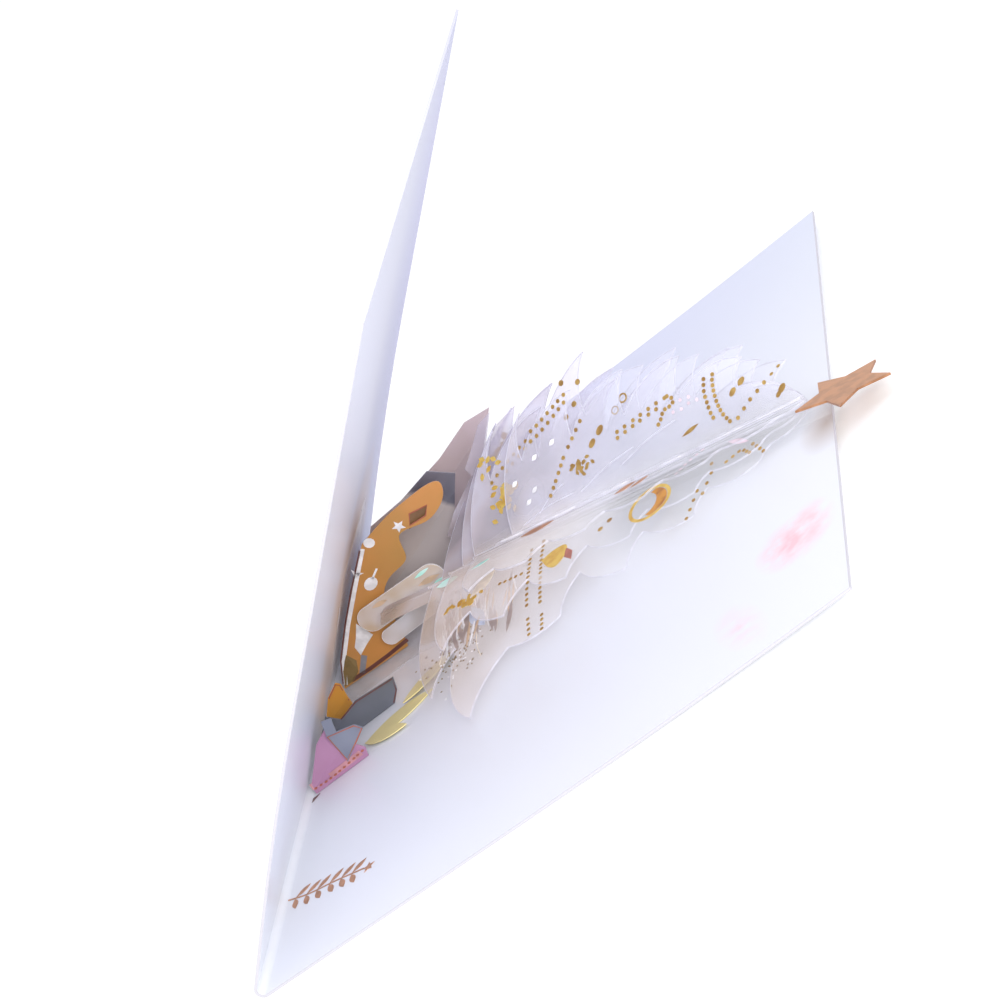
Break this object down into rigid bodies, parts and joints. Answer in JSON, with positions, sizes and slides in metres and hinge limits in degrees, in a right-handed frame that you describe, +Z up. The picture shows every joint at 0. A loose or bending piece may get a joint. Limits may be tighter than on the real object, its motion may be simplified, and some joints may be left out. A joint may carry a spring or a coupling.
{
  "type": "pop up card",
  "caption": "Greeting card lying partly open, with a folded film tree, printed base plates, small gifts and a star across its fold.",
  "frame": {"origin": "middle of the underside, on the surface that the card lies on", "axes": "+Y along the spine, away from the end that faces the viewer; +X from the spine to the free edge of the lower panel; +Z up"},
  "size_m": [0.1643, 0.2, 0.0978],
  "materials": {
    "cover_card": "pearl coated card, smooth",
    "clear_film": "clear film with a pearly rainbow sheen and gold foil dots",
    "orange_print": "printed film, orange gold",
    "slate_print": "printed film, dark slate",
    "beige_print": "printed film, pearly beige",
    "pink_print": "printed film, pink",
    "blue_print": "printed film, blue grey",
    "gold_print": "printed film, golden orange",
    "leaf_print": "printed film, yellow green",
    "rose_foil": "rose gold foil on card"
  },
  "bodies": {
    "root": {"card_cover": "cover_card", "base_strip_lower": "clear_film", "base_strip_upper": "clear_film", "front_plate": "orange_print", "slate_plate": "slate_print", "back_plate": "beige_print", "rear_plate": "beige_print", "pink_gift": "pink_print", "gift_bow": "blue_print", "blue_gift": "blue_print", "gold_gift": "gold_print", "film_loop_upper": "clear_film", "film_loop_lower": "clear_film", "tree_stem": "clear_film", "tree_layer_1": "clear_film", "tree_layer_2": "clear_film", "tree_layer_3": "clear_film", "tree_layer_4": "clear_film", "star_topper": "rose_foil", "leaf_1": "leaf_print", "leaf_2": "leaf_print", "leaf_3": "leaf_print"}
  },
  "joints": []
}
